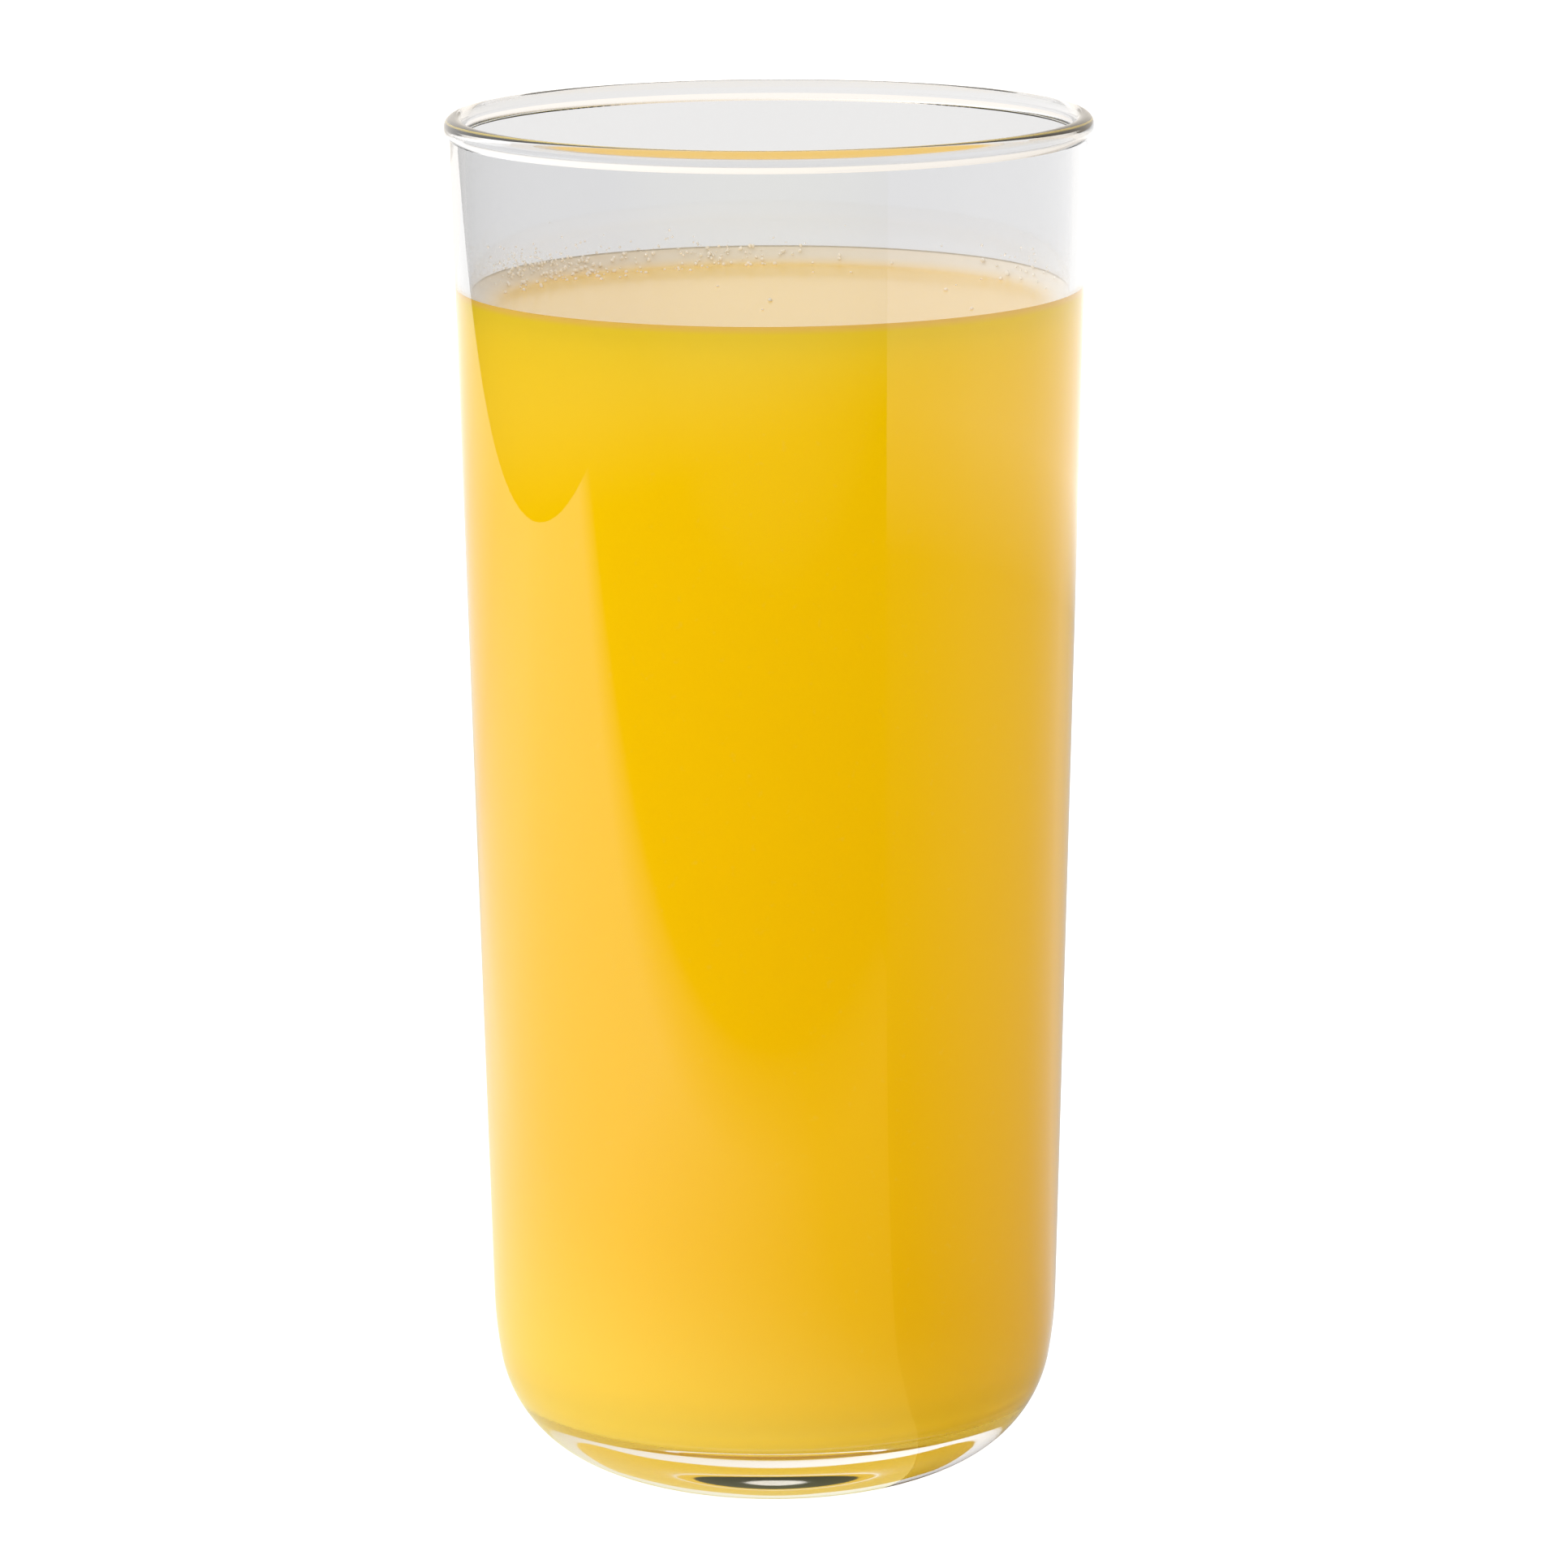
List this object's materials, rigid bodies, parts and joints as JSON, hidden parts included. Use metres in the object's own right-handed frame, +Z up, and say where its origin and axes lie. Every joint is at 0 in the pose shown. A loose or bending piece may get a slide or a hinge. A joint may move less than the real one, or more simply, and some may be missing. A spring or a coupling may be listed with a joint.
{
  "type": "glass of pineapple juice",
  "caption": "Tall clear tumbler with a beaded rim, a leaning wall and a heavy rounded base, filled with opaque yellow pineapple juice to a finger below the rim.",
  "frame": {"origin": "middle of the flat foot, on the surface that the glass stands on", "axes": "+Z up along the axis of the glass, X and Y alike because every piece is turned about that axis"},
  "size_m": [0.07, 0.07, 0.15],
  "materials": {
    "glass": "fire-polished clear soda-lime glass",
    "juice": "cloudy bright yellow fruit juice with a smooth wet surface"
  },
  "bodies": {
    "root": {"glass": "glass", "juice": "juice"}
  },
  "joints": []
}
